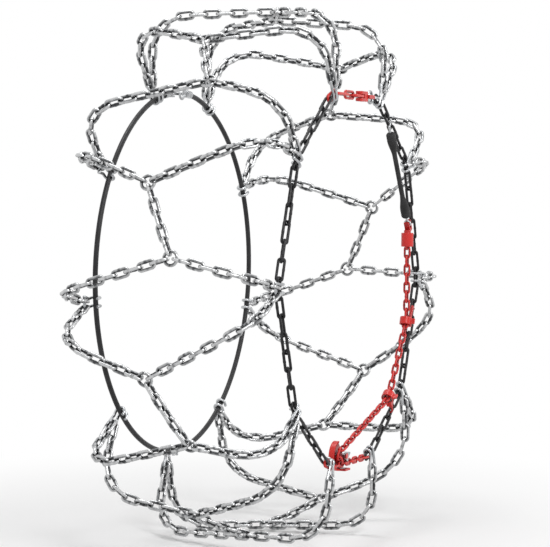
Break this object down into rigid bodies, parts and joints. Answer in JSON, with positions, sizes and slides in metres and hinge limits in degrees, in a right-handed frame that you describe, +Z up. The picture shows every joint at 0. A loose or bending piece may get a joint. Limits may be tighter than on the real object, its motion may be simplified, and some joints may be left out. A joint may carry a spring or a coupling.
{
  "type": "tire snow chain",
  "caption": "Tire snow chain: diamond net of galvanised links on a black side chain and an inner hoop, with red closing hook, tension lock, red tension chain and rubber tensioner.",
  "frame": {"origin": "centre of the space the fitted chain closes round, on its axis and half way between its two sides", "axes": "+Y along the axis of the fitted chain towards its inner side, so the outer side with the lock faces -Y; +Z up, closing hook at the top; +X to the right seen from the outer side"},
  "size_m": [0.7449, 0.2976, 0.7446],
  "materials": {
    "galvanised": "bright zinc, satin",
    "bright_steel": "zinc-plated steel, satin",
    "black_steel": "black coated steel, half gloss",
    "red_paint": "red coated steel, half gloss",
    "hoop_sleeve": "spring steel cable in a smooth black sleeve",
    "rubber": "matt black rubber"
  },
  "bodies": {
    "net": {"outer_runs_1": "galvanised", "outer_runs_2": "galvanised", "outer_runs_3": "galvanised", "outer_runs_4": "galvanised", "outer_runs_5": "galvanised", "outer_runs_6": "galvanised", "outer_runs_7": "galvanised", "outer_runs_8": "galvanised", "outer_runs_9": "galvanised", "inner_runs_1": "galvanised", "inner_runs_2": "galvanised", "inner_runs_3": "galvanised", "inner_runs_4": "galvanised", "inner_runs_5": "galvanised", "inner_runs_6": "galvanised", "inner_runs_7": "galvanised", "inner_runs_8": "galvanised", "inner_runs_9": "galvanised", "side_run_1": "black_steel", "side_run_2": "black_steel", "side_run_3": "black_steel", "side_run_4": "black_steel", "side_run_5": "black_steel", "side_run_6": "black_steel", "side_run_7": "black_steel", "side_run_8": "black_steel", "knot_hooks_left": "bright_steel", "knot_hooks_right": "bright_steel", "knot_hooks_ends": "bright_steel", "hoop_clips_left": "bright_steel", "hoop_clips_low": "bright_steel", "hoop_clips_right": "bright_steel", "inner_hoop": "hoop_sleeve", "hoop_ends": "bright_steel", "shut_link": "red_paint", "shut_eye": "bright_steel", "lock_link": "red_paint", "lock_body": "red_paint", "pull_chain_low": "red_paint", "pull_chain_high": "red_paint", "pull_end": "red_paint"},
    "shut_chain": {"shut_chain": "red_paint"},
    "shut_hook": {"shut_hook": "red_paint"},
    "lock_pawl": {"lock_pawl": "bright_steel"},
    "lock_roller": {"lock_roller": "bright_steel"},
    "guide_low": {"guide_low": "red_paint"},
    "guide_high": {"guide_high": "red_paint"},
    "tensioner": {"strap_hook_low": "bright_steel", "strap": "rubber", "strap_hook_high": "bright_steel"},
    "hoop_hook": {"hoop_hook": "bright_steel"},
    "cross_chain_1": {"cross_chain_1": "galvanised"},
    "cross_chain_2": {"cross_chain_2": "galvanised"},
    "cross_chain_3": {"cross_chain_3": "galvanised"},
    "cross_chain_4": {"cross_chain_4": "galvanised"},
    "cross_chain_5": {"cross_chain_5": "galvanised"},
    "cross_chain_6": {"cross_chain_6": "galvanised"},
    "cross_chain_7": {"cross_chain_7": "galvanised"},
    "cross_chain_8": {"cross_chain_8": "galvanised"},
    "cross_chain_9": {"cross_chain_9": "galvanised"}
  },
  "joints": [
    {"name": "closing_chain_swing", "type": "hinge", "parent": "net", "child": "shut_chain", "pos_m": [-0.06556, -0.1342, 0.25365], "axis": [-0.0419, 0, -0.9991], "range_deg": [0, 30]},
    {"name": "closing_hook_swing", "type": "hinge", "parent": "shut_chain", "child": "shut_hook", "pos_m": [0.02561, -0.1342, 0.24983], "axis": [-0.0419, 0, -0.9991], "range_deg": [0, 75]},
    {"name": "pawl_lift", "type": "hinge", "parent": "net", "child": "lock_pawl", "pos_m": [-0.03444, -0.1342, -0.24159], "axis": [0, -1, 0], "range_deg": [0, 25], "stiffness_Nm_per_rad": 0.05},
    {"name": "roller_spin", "type": "hinge", "parent": "net", "child": "lock_roller", "pos_m": [-0.04495, -0.1342, -0.24165], "axis": [0, -1, 0], "continuous": true},
    {"name": "guide_low_turn", "type": "hinge", "parent": "net", "child": "guide_low", "pos_m": [0.13459, -0.1382, -0.18025], "axis": [-0.8291, 0, -0.5592], "range_deg": [0, 80]},
    {"name": "guide_high_turn", "type": "hinge", "parent": "net", "child": "guide_high", "pos_m": [0.2086, -0.1382, -0.07825], "axis": [-0.3421, 0, -0.9397], "range_deg": [0, 80]},
    {"name": "tensioner_swing", "type": "hinge", "parent": "net", "child": "tensioner", "pos_m": [0.2141, -0.1382, 0.06474], "axis": [0.8713, 0, 0.4907], "range_deg": [0, 60]},
    {"name": "hoop_hook_swing", "type": "hinge", "parent": "net", "child": "hoop_hook", "pos_m": [-0.02108, 0.1325, 0.2531], "axis": [0, 0, 1], "range_deg": [0, 60]},
    {"name": "cross_chain_1_twist", "type": "hinge", "parent": "net", "child": "cross_chain_1", "pos_m": [-0.17562, 0.01027, 0.32054], "axis": [-0.7486, -0.4061, -0.5242], "range_deg": [-12, 12]},
    {"name": "cross_chain_2_twist", "type": "hinge", "parent": "net", "child": "cross_chain_2", "pos_m": [-0.34057, 0.01027, 0.13266], "axis": [-0.2365, -0.4061, -0.8827], "range_deg": [-12, 12]},
    {"name": "cross_chain_3_twist", "type": "hinge", "parent": "net", "child": "cross_chain_3", "pos_m": [-0.34617, 0.01027, -0.11729], "axis": [0.3862, -0.4061, -0.8282], "range_deg": [-12, 12]},
    {"name": "cross_chain_4_twist", "type": "hinge", "parent": "net", "child": "cross_chain_4", "pos_m": [-0.18978, 0.01027, -0.31236], "axis": [0.8282, -0.4061, -0.3862], "range_deg": [-12, 12]},
    {"name": "cross_chain_5_twist", "type": "hinge", "parent": "net", "child": "cross_chain_5", "pos_m": [0.0554, 0.01027, -0.36128], "axis": [0.8827, -0.4061, 0.2365], "range_deg": [-12, 12]},
    {"name": "cross_chain_6_twist", "type": "hinge", "parent": "net", "child": "cross_chain_6", "pos_m": [0.27466, 0.01027, -0.24114], "axis": [0.5242, -0.4061, 0.7486], "range_deg": [-12, 12]},
    {"name": "cross_chain_7_twist", "type": "hinge", "parent": "net", "child": "cross_chain_7", "pos_m": [0.36541, 0.01027, -0.00817], "axis": [-0.0796, -0.4061, 0.9104], "range_deg": [-12, 12]},
    {"name": "cross_chain_8_twist", "type": "hinge", "parent": "net", "child": "cross_chain_8", "pos_m": [0.28517, 0.01027, 0.22862], "axis": [-0.6462, -0.4061, 0.6462], "range_deg": [-12, 12]},
    {"name": "cross_chain_9_twist", "type": "hinge", "parent": "net", "child": "cross_chain_9", "pos_m": [0.0715, 0.01027, 0.35844], "axis": [-0.9104, -0.4061, 0.0796], "range_deg": [-12, 12]}
  ]
}
